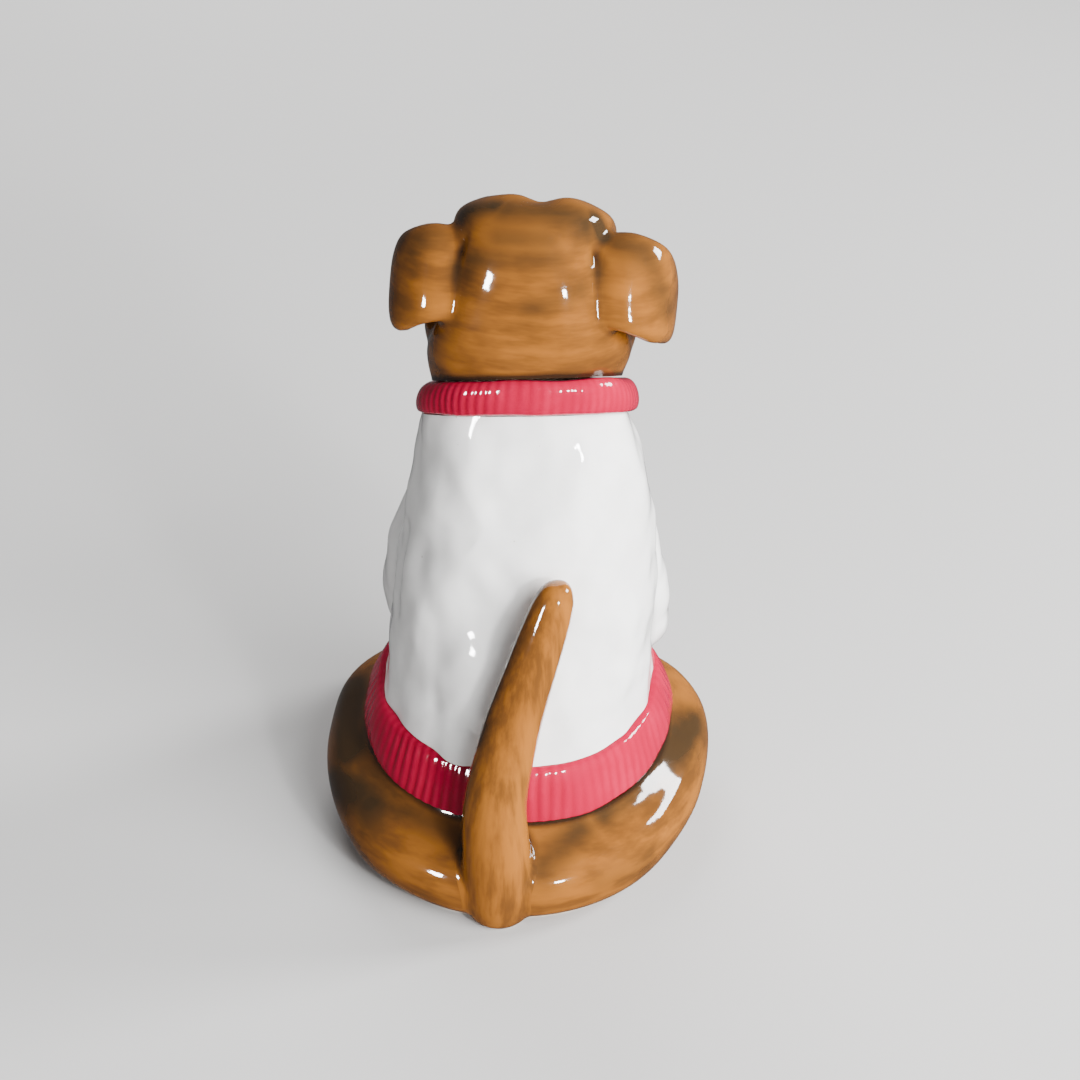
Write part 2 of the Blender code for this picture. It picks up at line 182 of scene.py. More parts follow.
# Where skins and hollows start or end, as places in the list of sections, a little past the seams.
TORSO_SPAN = (HEM_TOP - 0.6, COLLAR_LOW + 0.7)
HOLLOW_SPAN = (HEM_TOP - 0.8, COLLAR_LOW + 0.9)
HIPS_SPAN = (FOOT, HEM_LOW + 0.35)
CAVITY_SPAN = (FOOT, HEM_LOW + 0.5)
EAR = (
    EarStop(13, -2.5, 185, 9.5, 5.5, 32),
    EarStop(19, 1.2, 185, 11, 5.8, 22),
    EarStop(27, 3.2, 185, 12.4, 5.6, -8),
    EarStop(33.5, 0.5, 181.8, 13.1, 5.2, -45),
    EarStop(36.5, -5.5, 177.8, 12.4, 4.8, -78),
    EarStop(37.5, -12.5, 172, 10.5, 4.3, -92),
    EarStop(37.5, -18, 167, 7, 3.5, -98),
    EarStop(36.5, -21.5, 164.5, 3.2, 2.5, -105),
)
EAR_ROUNDNESS = 0.65  # one would make the ear's section a true oval, and less squares it off
EAR_LEAN = 0.56  # how far the foot of an ear hangs back, for each millimetre of its height
EAR_SIDES = {"left": (1, -1.7, 1.0), "right": (-1, -1.0, 1.04)}  # side, drop in mm, reach
SIDES = {"left": 1, "right": -1}

# Limbs: points (x for the left side, y, z) and the radius at each, in millimetres.
SLEEVE = (
    (24, -8, 112, 6),
    (27, -10, 106, 10),
    (30.5, -13, 91, 12.5),
    (33, -16, 75, 13.5),
    (33.5, -22, 58, 13.5),
    (30, -36, 44, 12),
    (24, -49, 32, 10.5),
    (23, -51.5, 27, 10),
)
CUFF = (
    (23, -51.8, 28.5, 10.5),
    (22.7, -52.6, 26.5, 12.4),
    (21.8, -54.6, 20, 12.4),
    (21.5, -55.2, 18, 10.5),
)
TAIL = (
    (-1, 61, -0.6, 7.2),
    (-1, 61.5, 2.5, 9.8),
    (-1, 63, 9, 10.9),
    (0, 64.5, 24, 10.5),
    (0.5, 62.5, 42, 9.8),
    (-2.5, 57.5, 61, 8.9),
    (-8, 52, 83, 7.8),
    (-13, 46.8, 100, 6.5),
    (-14.8, 45, 105.5, 4.9),
    (-15.4, 44.4, 107.4, 3.2),
    (-15.6, 44.2, 108.4, 1.2),
)
FOREPAW = ((20, -60.5, 8.5), (12, 14.53, 10.5))
HIND_FOOT = ((43, -50, 6), (11, 18, 8))
NOSE = ((0, -60, 168), (7, 4.5, 5))
EYE = ((12.5, -38.5, 177), (5, 5, 5.6))
TOE_SPACING = 0.36  # from the middle of a paw to a groove between its toes, as a share of the half-width
TOE_ANGLES = (-30, -10, 10, 30, 48)  # how far a groove goes up over the front of a paw, in degrees
HEAD_SWELLINGS = (
    ((9.5, -45, 159), (12.5, 15, 10.5), True),  # jowls
    ((0, -43, 166), (12, 17, 9), False),  # bridge of the muzzle
    ((0, -41, 150.5), (12, 12, 7), False),  # chin
    ((21, -15, 161), (11, 18, 12), True),  # cheeks
    ((8.5, -27, 183.5), (9, 9, 8), True),  # brows
)
# What is cut from a skin as a piece of its own: a region of the head, and how far, in millimetres, the skin
# of a limb reaches past its plain solid.
MUZZLE_REGION = ((0, -52, 161), (26, 15, 19))
EAR_MARGIN = 2.0
SLEEVE_MARGIN = 1.6
TAIL_MARGIN = 1.8
FOOT_MARGIN = 1.6

# The half section of the stopper in millimetres, from its flat underside up to the inside of its cup: the
# radius and the height of each corner.
STOPPER_PROFILE = (
    (0.5, 1.2),
    (5.5, 1.2),
    (6.2, 0.7),
    (21.4, 0.7),
    (21.9, 1.1),
    (21.9, 2.4),
    (21.4, 2.9),
    (17.1, 2.9),
    (17.1, 5.5),
    (16.5, 6.1),
    (16.5, 10.8),
    (15.7, 12.2),
    (13.4, 12.2),
    (13.2, 4.3),
    (12.6, 3.9),
    (0.5, 3.9),
)

# Seams are painted dark: glaze pooled against the next piece, and painted shade between the pieces.
NECK_SEAM = Seam(HEAD[0], 1.8 * MM, 1.0)
SWEATER_SEAMS = (Seam(BODY[HEM_TOP], 1.2 * MM, 0.3), Seam(BODY[COLLAR_LOW], 1.0 * MM, 0.3))
HIPS_SEAM = Seam(BODY[HEM_LOW], 1.8 * MM, 0.9)
HEAD_BUMPS = Bumps(13 * MM, 1.0, 3.1)
SWEATER_BUMPS = (Bumps(17 * MM, 3.2, 7.7), Bumps(8 * MM, 0.8, 4.2))
BAND_BUMPS = Bumps(13 * MM, 1.0, 5.3)
HIND_BUMPS = Bumps(24 * MM, 1.2, 6.4)
PAW_BUMPS = Bumps(12 * MM, 0.5, 2.2)

SOFTBOXES = (
    Softbox("key_softbox", (-1.11, -0.42, 0.70), (0.42, 0.36), "key_power", 1, True, True),
    Softbox("left_softbox", (0.85, 1.0, 0.62), (0.20, 0.27), "left_power", 1, False, True),
    Softbox("right_softbox", (-0.72, 1.05, 0.62), (0.13, 0.13), "right_power", 1, True, True),
    Softbox("back_fill", (-0.95, 0.85, 0.75), (1.2, 1.2), "fill_power", 1, True, False),
    Softbox("front_fill", (0.35, -1.3, 0.9), (0.9, 0.9), "fill_power", 1 / 3, True, False),
)
LIT_PLACE = (0.0, 0.0, 0.1)
CAMERA_TARGET = (-0.0055, 0.0, 0.0955)
FLOOR_REACH = 3.0
FLOOR_SHADE = 0.97  # the darkest cloud in the floor beside its colour

# Grooves and dents, in millimetres: start, end, width and depth.
FACE_STROKES = (
    Stroke((0, -62, 163), (0, -61, 154), 1.0, 1.6),
    Stroke((0, -61, 154), (9, -57, 150.5), 1.1, 1.6),
    Stroke((9, -57, 150.5), (17, -49, 152.5), 1.1, 1.4),
    Stroke((0, -61, 154), (-9, -57, 150.5), 1.1, 1.6),
    Stroke((-9, -57, 150.5), (-17, -49, 152.5), 1.1, 1.4),
    Stroke((-2.5, -28, 198), (-2.5, -6, 204), 3.6, 0.9),
    Stroke((5, -26, 198), (5, -8, 204), 5.0, -0.7),
    Stroke((-10.5, -26, 198), (-10.5, -8, 203), 5.0, -0.8),
    Stroke((19, 3, 199), (20, 6, 172), 1.3, 0.9),
    Stroke((-19.5, 3, 196), (-20, 6, 170), 1.3, 0.9),
    Stroke((-14, 20, 172), (10, 22, 176), 9.0, 0.5),
)
# Where the brown glaze is darker, from dark brushwork and from painted shade; here the depth is how much
# darker.
# Painted shade: where the ears meet the head, under the left ear, and down the dog's left side.
HEAD_BRUSHWORK_AND_SHADE = (
    Stroke((19, -4, 199), (10, -1, 203), 5.0, 0.9),
    Stroke((6, 1, 203), (-15, 1, 200), 6.5, 0.78),
    Stroke((8, 8, 198), (-6, 8, 198), 5.0, 0.5),
    Stroke((10, -18, 204), (-6, -20, 204), 6.0, 0.6),
    # Dark where the right ear meets the crown and down both ear roots: brushwork and painted shade.
    Stroke((-18, -2, 200), (-21, -2, 196), 4.0, 1.0),
    Stroke((19, 4, 200), (21, 8, 172), 2.4, 0.6),
    Stroke((-20, 4, 198), (-21, 8, 170), 2.8, 0.65),
    Stroke((16, 9, 191), (-8, 11, 193), 4.5, 0.5),
    Stroke((-2, 16, 180), (-16, 12, 184), 3.5, 0.4),
    Stroke((25, 2, 194), (33, 2, 190), 5.0, 0.35),
    Stroke((-26, 0, 195), (-36, 2, 190), 5.0, 0.6),
    Stroke((-38, 4, 186), (-40, 2, 176), 5.0, 0.5),
    Stroke((38, -4, 190), (41, -10, 176), 5.0, 0.5),
    # Painted shade on the left cheek, under the ear.
    Stroke((26, 0, 160), (28, -6, 152), 6.0, 0.4),
)
HIND_BRUSHWORK_AND_SHADE = (
    Stroke((-57, -8, 28), (-48, 20, 30), 7.0, 0.9),
    Stroke((-48, 20, 30), (-30, 46, 27), 5.0, 0.7),
    Stroke((-24, 52, 26), (-14, 63, 19), 6.0, 0.75),
    Stroke((-30, 60, 14), (-44, 48, 14), 4.0, 0.4),
    # Painted shade on the left haunch, the side turned away from the key light.
    Stroke((57, -12, 29), (52, 20, 27), 9.0, 0.95),
    Stroke((56, 26, 18), (42, 44, 24), 9.0, 0.85),
    Stroke((38, 46, 27), (10, 61, 27), 5.0, 0.6),
    # Painted shade down the tail's left side.
    Stroke((6, 60, 62), (1, 52, 84), 3.5, 0.6),
    Stroke((1, 52, 84), (-8, 46, 103), 3.5, 0.7),
)
SWEATER_STROKES = (
    Stroke((10, 46, 80), (13, 49, 62), 3.6, 1.1),
    Stroke((20, 42, 86), (19, 46, 62), 4.0, -1.5),
    Stroke((25, 39, 92), (25, 41, 80), 3.0, 1.6),
    Stroke((25, 41, 80), (23.5, 43, 60), 3.0, 1.6),
    Stroke((31, 34, 100), (33, 34, 76), 4.0, -0.8),
    Stroke((9, 44, 64), (9, 43, 76), 11.0, -3.8),
    Stroke((13, 46, 44), (12, 45, 52), 8.0, -2.7),
    Stroke((9, 33, 131), (5, 36, 124), 5.0, 1.3),
    Stroke((7, 38, 110), (1, 40, 103), 5.0, 1.4),
    Stroke((20, 34, 122), (14, 37, 114), 5.0, 0.8),
    Stroke((-6, 38, 118), (6, 41, 104), 6.0, -0.6),
    Stroke((-28, 34, 92), (-22, 41, 70), 5.0, 0.6),
    Stroke((-34, 14, 100), (-36, 18, 76), 4.0, 1.1),
    Stroke((36, 12, 104), (38, 16, 78), 4.0, 1.1),
)
HIND_STROKES = (
    Stroke((-52, 8, 30), (-44, 26, 29), 6.0, -0.8),
    Stroke((-44, 26, 29), (-33, 40, 28.5), 6.0, -0.8),
    Stroke((34, 48, 34), (50, 26, 22), 8.0, 0.7),
    Stroke((56, -6, 34), (40, 36, 40), 6.0, -0.5),
)


def toe_strokes(place, half_sizes, side):
    """Two grooves between the toes, over the front of a paw."""
    x, y, z = place
    strokes = []
    for share in (-TOE_SPACING, TOE_SPACING):
        width = math.sqrt(1 - share * share)
        line = [
            (
                (x + share * half_sizes[0]) * side,
                y - half_sizes[1] * width * math.cos(math.radians(angle)),
                z + half_sizes[2] * width * math.sin(math.radians(angle)),
            )
            for angle in TOE_ANGLES
        ]
        strokes += [Stroke(start, end, 1.0, 1.1) for start, end in zip(line, line[1:])]
    return tuple(strokes)


# ---------------------------------------------------------------- curves and solids


def blend(before, start, end, after, share):
    """Catmull-Rom value between start and end."""
    square = share * share
    cube = square * share
    return 0.5 * (
        2 * start
        + (end - before) * share
        + (2 * before - 5 * start + 4 * end - after) * square
        + (3 * start - before - 3 * end + after) * cube
    )


def between(rows, place):
    """The row at a fractional place in a list of rows, on a smooth curve through them."""
    last = len(rows) - 1
    first = min(int(place), last - 1)
    near = [rows[min(max(first + step, 0), last)] for step in (-1, 0, 1, 2)]
    values = [blend(*fields, place - first) for fields in zip(*near)]
    return type(rows[0])(*values) if isinstance(rows[0], (Section, EarStop)) else tuple(values)


def signed_power(values, exponent):
    return np.sign(values) * np.abs(values) ** exponent


def ring(section, grow=0.0, lift=0.0, points=RING_POINTS):
    """Corners of a section, grown outwards in its own plane and lifted along its normal."""
    tilt = math.radians(section.tilt)
    angles = np.arange(points) * (2 * math.pi / points)
    across = signed_power(np.cos(angles), 2 / section.squareness)
    along = signed_power(np.sin(angles), 2 / section.squareness)
    y = (np.where(along > 0, section.back, section.front) + grow) * along
    x = (section.half_width + grow) * across
    sink = x * math.tan(math.radians(section.lean))
    return np.column_stack(
        (
            section.aside + x,
            section.centre + y * math.cos(tilt) - lift * math.sin(tilt),
            section.height + y * math.sin(tilt) + lift * math.cos(tilt) - sink,
        )
    )


def stack(rows, span, count, grow=0.0, points=RING_POINTS):
    """Rings evenly spread over a span of the list of sections."""
    return [ring(between(rows, place), grow, points=points) for place in np.linspace(*span, count)]


def circle(radius, height):
    return ring(Section(height, 0.0, 0.0, 0.0, 0.0, radius, radius, radius, 2.0))


def outward(mesh):
    """The mesh with every face turned to face out."""
    work = bmesh.new()
    work.from_mesh(mesh)
    bmesh.ops.recalc_face_normals(work, faces=work.faces)
    work.to_mesh(mesh)
    work.free()
    return mesh


def loft(name, rings, closed_profile=False):
    """A closed solid through the rings: joined end to start, or with a flat cap at each end."""
    count = len(rings[0])
    starts = [row * count for row in range(len(rings))]
    pairs = list(zip(starts, starts[1:]))
    if closed_profile:
        pairs.append((starts[-1], starts[0]))
    faces = [
        (low + step, low + (step + 1) % count, high + (step + 1) % count, high + step)
        for low, high in pairs
        for step in range(count)
    ]
    if not closed_profile:
        faces.append(tuple(range(count)))
        faces.append(tuple(range(starts[-1], starts[-1] + count)))
    mesh = bpy.data.meshes.new(name)
    mesh.from_pydata(np.concatenate(rings).tolist(), [], faces)
    return outward(mesh)


def hoop(heading, points):
    """Corners of a circle of radius one, square to a heading."""
    forward = heading / np.linalg.norm(heading)
    across = np.cross(forward, (0.0, 1.0, 0.0))
    across /= np.linalg.norm(across)
    upward = np.cross(across, forward)
    angles = np.arange(points) * (2 * math.pi / points)
    return np.outer(np.cos(angles), across) + np.outer(np.sin(angles), upward)


def tube(name, stops, side, grow=0.0):
    """A round limb through its stops, made wider by some millimetres if asked."""
    rows = np.array([between(stops, place) for place in np.linspace(0, len(stops) - 1, LIMB_RINGS)])
    centres = rows[:, :3] * (side, 1, 1) * MM
    headings = np.gradient(centres, axis=0)
    radii = (rows[:, 3] + grow) * MM
    rings = [
        centre + radius * hoop(heading, LIMB_POINTS)
        for centre, heading, radius in zip(centres, headings, radii)
    ]
    return loft(name, rings)


def egg(name, place, half_sizes, side=1, grow=0.0):
    """A ball stretched to its half sizes. Place, sizes and growth are in millimetres."""
    work = bmesh.new()
    bmesh.ops.create_icosphere(work, subdivisions=BALL_DIVISIONS, radius=1.0)
    for vertex in work.verts:
        for axis in range(3):
            vertex.co[axis] = vertex.co[axis] * (half_sizes[axis] + grow) * MM
        vertex.co += Vector((place[0] * side, place[1], place[2])) * MM
    mesh = bpy.data.meshes.new(name)
    work.to_mesh(mesh)
    work.free()
    return mesh


def box(name, low, high):
    work = bmesh.new()
    bmesh.ops.create_cube(work, size=1.0)
    for vertex in work.verts:
        for axis in range(3):
            middle = (low[axis] + high[axis]) / 2
            vertex.co[axis] = middle + vertex.co[axis] * (high[axis] - low[axis])
    mesh = bpy.data.meshes.new(name)
    work.to_mesh(mesh)
    work.free()
    return mesh


def ear_solid(name, side, drop, reach, grow=0.0):
    """A drop ear: flat ovals that start in the skull, run outwards and curl forwards."""
    rings = []
    angles = np.arange(LIMB_POINTS) * (2 * math.pi / LIMB_POINTS)
    flat = signed_power(np.cos(angles), EAR_ROUNDNESS)
    tall = signed_power(np.sin(angles), EAR_ROUNDNESS)
    for place in np.linspace(0, len(EAR) - 1, EAR_RINGS):
        stop = between(EAR, place)
        heading = math.radians(stop.heading)
        thick = (stop.half_thickness + grow) * flat
        x = (stop.outwards * reach - math.sin(heading) * thick) * side
        rise = (stop.half_height + grow) * tall
        y = stop.centre + math.cos(heading) * thick - EAR_LEAN * rise
        z = stop.height + drop + rise
        rings.append(np.column_stack((x, y, z)) * MM)
    return loft(name, rings)


def slab(name, low, top):
    """Everything between the planes of two sections of the body."""
    return loft(name, [ring(low, BEYOND), ring(top, BEYOND)])


# ---------------------------------------------------------------- working the clay


def placed(name, data):
    """A new object in the scene."""
    made = bpy.data.objects.new(name, data)
    bpy.context.scene.collection.objects.link(made)
    return made


def taken_from(helper):
    """The mesh of a helper as its modifiers leave it. The helper itself is removed."""
    bpy.context.view_layer.update()
    graph = bpy.context.evaluated_depsgraph_get()
    result = bpy.data.meshes.new_from_object(
        helper.evaluated_get(graph), preserve_all_data_layers=True, depsgraph=graph
    )
    bpy.data.objects.remove(helper)
    return result


def shaped(mesh, kind, **settings):
    """The mesh after one modifier."""
    helper = placed("helper", mesh)
    modifier = helper.modifiers.new(kind, kind)
    for key, value in settings.items():
        setattr(modifier, key, value)
    return taken_from(helper)


def smoothed(mesh, passes):
    return shaped(mesh, "SMOOTH", factor=SMOOTHING, iterations=passes)


def carve(mesh, operation, solid):
    tool = placed("tool", solid)
    result = shaped(mesh, "BOOLEAN", operation=operation, solver="MANIFOLD", object=tool)
    bpy.data.objects.remove(tool)
    return result


def without(mesh, *solids):
    """What is left of the mesh when some solids are cut away."""
    for solid in solids:
        mesh = carve(mesh, "DIFFERENCE", solid)
    return mesh


def within(mesh, solid):
    """The part of the mesh that is inside a solid."""
    return carve(mesh, "INTERSECT", solid)


def glazed_over(solid):
    """Marks a cutting solid, so that the faces it leaves are covered in pooled glaze and painted shade."""
    for name in ("glazed", "crease"):
        layer = solid.attributes.new(name, "FLOAT", "CORNER")
        layer.data.foreach_set("value", np.ones(len(solid.loops), dtype=np.float32))
    return solid


def melt(name, solids, grain, rounding):
    """One skin of clay over several solids, with its creases filled and its edges rounded."""
    work = bmesh.new()
    for solid in solids:
        work.from_mesh(solid)
    joined = bpy.data.meshes.new(name)
    work.to_mesh(joined)
    work.free()
    return smoothed(shaped(joined, "REMESH", mode="VOXEL", voxel_size=grain), rounding)


def corners(mesh):
    places = np.empty(len(mesh.vertices) * 3)
    mesh.vertices.foreach_get("co", places)
    return places.reshape(-1, 3)


def directions(mesh):
    normals = np.empty(len(mesh.vertices) * 3)
    mesh.vertex_normals.foreach_get("vector", normals)
    return normals.reshape(-1, 3)


def move_corners(mesh, places):
    mesh.vertices.foreach_set("co", places.ravel())
    mesh.update()


def store(mesh, name, values):
    """Keeps a number for every vertex of the mesh, for its ribs and its glaze to read."""
    layer = mesh.attributes.new(name, "FLOAT", "POINT")
    layer.data.foreach_set("value", np.asarray(values, dtype=np.float32))


def stroke_field(places, strokes):
    """The depth of the strokes at each place, fading away from their lines. The strokes are in millimetres.

    Where grooves meet, or swellings do, the deeper one counts, so that a bent groove is even all along.
    """
    grooves = np.zeros(len(places))
    swellings = np.zeros(len(places))
    for stroke in strokes:
        start = np.array(stroke.start) * MM
        run = np.array(stroke.end) * MM - start
        share = np.clip((places - start) @ run / (run @ run), 0, 1)
        distance = np.linalg.norm(places - start - share[:, None] * run, axis=1)
        depth = stroke.depth * np.exp(-((distance / (stroke.width * MM)) ** 2))
        grooves = np.maximum(grooves, depth)
        swellings = np.minimum(swellings, depth)
    return grooves + swellings


def press(mesh, strokes):
    """Presses grooves and dents into the clay."""
    places = corners(mesh)
    move_corners(mesh, places - directions(mesh) * MM * stroke_field(places, strokes)[:, None])


def make_uneven(mesh, bumps, unevenness):
    """Gives the clay the soft unevenness of hand work."""
    places = corners(mesh)
    shift = Vector((bumps.seed, bumps.seed * 0.7, -bumps.seed))
    heights = np.array([noise.noise(Vector(place) / bumps.size + shift) for place in places])
    rise = bumps.share * unevenness * (heights - BUMP_LOSS)
    move_corners(mesh, places + directions(mesh) * rise[:, None])


def pooled(places, seam):
    """How dark each place along a seam is: glaze pooled there, and painted shade between the pieces."""
    line = ring(seam.section, points=SEAM_POINTS)
    tree = kdtree.KDTree(len(line))
    for index, place in enumerate(line):
        tree.insert(place, index)
    tree.balance()
    distance = np.array([tree.find(place)[2] for place in places])
    return seam.amount * np.exp(-((distance / seam.reach) ** 2))


def mark_skin(mesh, seams=(), shades=(), full_depth=CREASE_DEPTH):
    """Notes creases and seams (pooled glaze, painted shade), edges, brushwork and painted shade, and smooth
    normals.
    """
    places = corners(mesh)
    facing = directions(mesh)
    relaxed = smoothed(mesh.copy(), RELAXED)
    depth = ((corners(relaxed) - places) * facing).sum(axis=1) / full_depth
    # Hollows are darkened: pooled glaze, and painted shade where shade falls in them.
    crease = np.clip(depth, 0, 1)
    for seam in seams:
        crease = np.maximum(crease, pooled(places, seam))
    notes = {
        "crease": crease,
        "edge": np.clip(-depth, 0, 1),
        "shade": np.clip(stroke_field(places, shades), 0, 1),
        "glazed": np.ones(len(places)),
    }
    owners = np.empty(len(mesh.loops), dtype=np.int32)
    mesh.loops.foreach_get("vertex_index", owners)
    for name, values in notes.items():
        layer = mesh.attributes.new(name, "FLOAT", "CORNER")
        layer.data.foreach_set("value", values[owners].astype(np.float32))
    layer = mesh.attributes.new("facing", "FLOAT_VECTOR", "CORNER")
    layer.data.foreach_set("vector", facing[owners].astype(np.float32).ravel())


def keep_skin_normals(mesh):
    """Shades a cut piece with the normals of the whole skin, so that no seam shows where it was cut."""
    normals = np.empty(len(mesh.loops) * 3, dtype=np.float32)
    mesh.attributes["facing"].data.foreach_get("vector", normals)
    mesh.normals_split_custom_set(normals.reshape(-1, 3).tolist())
    mesh.attributes.remove(mesh.attributes["facing"])


def finish_piece(node, mesh, glaze, kind="glazed", body="figure"):
    """Makes the piece that stands for a CAD node from its mesh, and puts it on the body it rides on."""
    name = f"{kind}_{node}"
    mesh.name = name
    mesh.materials.clear()
    mesh.materials.append(hand_glazes()[glaze])
    mesh.shade_smooth()
    mesh.set_sharp_from_angle(angle=SHARPEST)
    if "facing" in mesh.attributes:
        keep_skin_normals(mesh)
    made = placed(name, mesh)
    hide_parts(node)
    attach(made, body)


# ---------------------------------------------------------------- node trees


class Link:
    """A node's output that can be used in sums."""

    def __init__(self, graph, socket):
        self.graph = graph
        self.socket = socket

    def maths(self, operation, *values):
        return self.graph.node("ShaderNodeMath", {"operation": operation}, dict(enumerate(values)))

    def __add__(self, other):
        return self.maths("ADD", self, other)

    def __radd__(self, other):
        return self.maths("ADD", other, self)

    def __sub__(self, other):
        return self.maths("SUBTRACT", self, other)

    def __mul__(self, other):
        return self.maths("MULTIPLY", self, other)

    def __truediv__(self, other):
        return self.maths("DIVIDE", self, other)

    def power(self, other):
        return self.maths("POWER", self, other)

    def kept(self):
        """The value kept between nothing and one."""
        return self.maths("MINIMUM", self.maths("MAXIMUM", self, 0.0), 1.0)

    def rise(self, low, high):
        """Nothing below the low value, one above the high one, and a straight rise between."""
        return ((self - low) / (high - low)).kept()


class Graph:
    """A node tree that is written as calls and sums."""

    def __init__(self, tree):
        self.tree = tree

    def node(self, kind, settings=None, inputs=None, output=0):
        made = self.tree.nodes.new(kind)
        for key, value in (settings or {}).items():
            setattr(made, key, value)
        for key, value in (inputs or {}).items():
            if isinstance(value, Link):
                self.tree.links.new(value.socket, made.inputs[key])
            else:
                made.inputs[key].default_value = value
        return None if output is None else Link(self, made.outputs[output])

    def colour_mix(self, share, low, high):
        """One colour turning into another as the share goes from nothing to one."""
        factor, first, second, mixed = 0, 6, 7, 2
        return self.node(
            "ShaderNodeMix", {"data_type": "RGBA"}, {factor: share, first: low, second: high}, mixed
        )

    def grain(self, place, scale, detail=3.0, roughness=0.5):
        """Soft noise; the scale is in bumps to the metre."""
        values = {"Vector": place, "Scale": scale, "Detail": detail, "Roughness": roughness}
        return self.node("ShaderNodeTexNoise", None, values, "Fac")

    def stored(self, name):
        """A number that was stored on the corners of the mesh."""
        return self.node("ShaderNodeAttribute", {"attribute_name": name}, None, "Fac")

    def place(self, turn=(0.0, 0.0, 0.0), stretch=(1.0, 1.0, 1.0)):
        """Places on the piece, turned and stretched."""
        plain = self.node("ShaderNodeTexCoord", None, None, "Object")
        values = {"Vector": plain, "Rotation": turn, "Scale": stretch}
        return self.node("ShaderNodeMapping", {"vector_type": "POINT"}, values)


def opaque(colour):
    return (*colour[:3], 1.0)


def new_glaze(name):
    """A material with its node graph, its shader and its bump still to be filled in."""
    material = bpy.data.materials.new(name)
    material.use_nodes = True
    shader = material.node_tree.nodes["Principled BSDF"]
    shader.inputs["IOR"].default_value = REFRACTION
    return material, Graph(material.node_tree), shader


def dress(graph, shader, colour, roughness, height, distance):
    """Feeds the shader its colour, its roughness and the small relief of its surface."""
    values = {"Height": height, "Strength": RELIEF, "Distance": distance}
    normal = graph.node("ShaderNodeBump", None, values, "Normal")
    for key, link in (("Base Color", colour), ("Roughness", roughness), ("Normal", normal)):
        graph.tree.links.new(link.socket, shader.inputs[key])


def bare_clay(graph, colour, roughness, place):
    """Shows the unglazed clay on the inside of the bank and under its foot ring."""
    height = graph.node("ShaderNodeSeparateXYZ", None, {"Vector": place}, "Z")
    glazed = graph.stored("glazed") * height.rise(0.3 * MM, 0.9 * MM)
    speckle = graph.grain(place, 900.0)
    clay = graph.colour_mix(speckle, *CLAY)
    return graph.colour_mix(glazed, clay, colour), 0.85 + (roughness - 0.85) * glazed


def brown_glaze(name, turn, stretch, colours):
    """Amber glaze with brushwork and painted shade; creases near black with pooled glaze and painted shade.
    """
    material, graph, shader = new_glaze(name)
    place = graph.place()
    strokes = graph.grain(graph.place(turn, stretch), 1.0, 4.0, 0.58)
    washes = graph.grain(place, 42.0, 3.0, 0.55)
    broad = graph.grain(place, 24.0, 2.0)
    tone = strokes * 0.5 + washes * 0.3 + broad * 0.2
    # Brushwork and painted shade from the stored strokes, broken up by the brush grain.
    brushed_and_shaded = (graph.stored("shade") + tone.rise(0.52, 0.38) * 0.4) * (0.3 + strokes * 1.4)
    colour = graph.colour_mix(tone.rise(0.58, 0.42) * 0.85, opaque(colours.amber), opaque(colours.brown))
    colour = graph.colour_mix(graph.stored("edge").rise(0.1, 0.9) * 0.4, colour, opaque(colours.amber))
    colour = graph.colour_mix((brushed_and_shaded * 1.15).kept(), colour, opaque(colours.dark_brown))
    # Creases are painted near black: pooled glaze, and painted shade where shade falls in them.
    pooled_and_shaded = (graph.stored("crease") + (washes - 0.5) * 0.5).rise(0.2, 0.8)
    colour = graph.colour_mix(pooled_and_shaded * 0.92, colour, opaque(colours.crease))
    roughness = 0.05 + washes * 0.03
    colour, roughness = bare_clay(graph, colour, roughness, place)
    ripple = graph.grain(place, 130.0, 2.0) + strokes * 0.4
    dress(graph, shader, colour, roughness, ripple, 0.2 * MM)
    return material


def white_glaze(colours):
    """Thick white glaze, grey in its creases with pooled glaze and painted shade, with a few pinholes."""
    material, graph, shader = new_glaze("glossy_white")
    place = graph.place()
    cloud = graph.grain(place, 42.0, 4.0, 0.6)
    colour = graph.colour_mix(cloud.rise(0.3, 0.7), GREY_WHITE, opaque(colours.white))
    # Creases and folds are painted grey: pooled glaze and painted shade.
    colour = graph.colour_mix(graph.stored("crease").rise(0.15, 1.0) * 0.6, colour, POOLED_AND_SHADED_WHITE)
    pinholes = graph.grain(place, 620.0, 1.0).rise(0.80, 0.84)
    colour = graph.colour_mix(pinholes * 0.7, colour, PINHOLE)
    colour, roughness = bare_clay(graph, colour, 0.05 + cloud * 0.03, place)
    relief = graph.grain(place, 110.0, 2.0) - pinholes * 0.5
    dress(graph, shader, colour, roughness, relief, 0.25 * MM)
    return material


def red_glaze(colours):
    """Crimson glaze that is thin and pale on the ribs and deep between them."""
    material, graph, shader = new_glaze("glossy_red")
    place = graph.place()
    cloud = graph.grain(place, 90.0, 3.0, 0.6)
    rib = graph.stored("rib")
    depth = (rib + (cloud - 0.5) * 0.5).kept()
    colour = graph.colour_mix(depth, opaque(colours.deep_red), opaque(colours.red))
    colour = graph.colour_mix((rib * cloud).rise(0.45, 0.7) * 0.35, colour, PALE_RED)
    colour, roughness = bare_clay(graph, colour, 0.06 + cloud * 0.05, place)
    dress(graph, shader, colour, roughness, graph.grain(place, 240.0, 2.0), 0.2 * MM)
    return material


def black_glaze(colours):
    """Black glaze with a breath of brown."""
    material, graph, shader = new_glaze("glossy_black")
    place = graph.place()
    cloud = graph.grain(place, 160.0)
    colour = graph.colour_mix(cloud, opaque(colours.black), BROWN_BLACK)
    dress(graph, shader, colour, 0.04 + cloud * 0.03, graph.grain(place, 200.0, 2.0), 0.15 * MM)
    return material


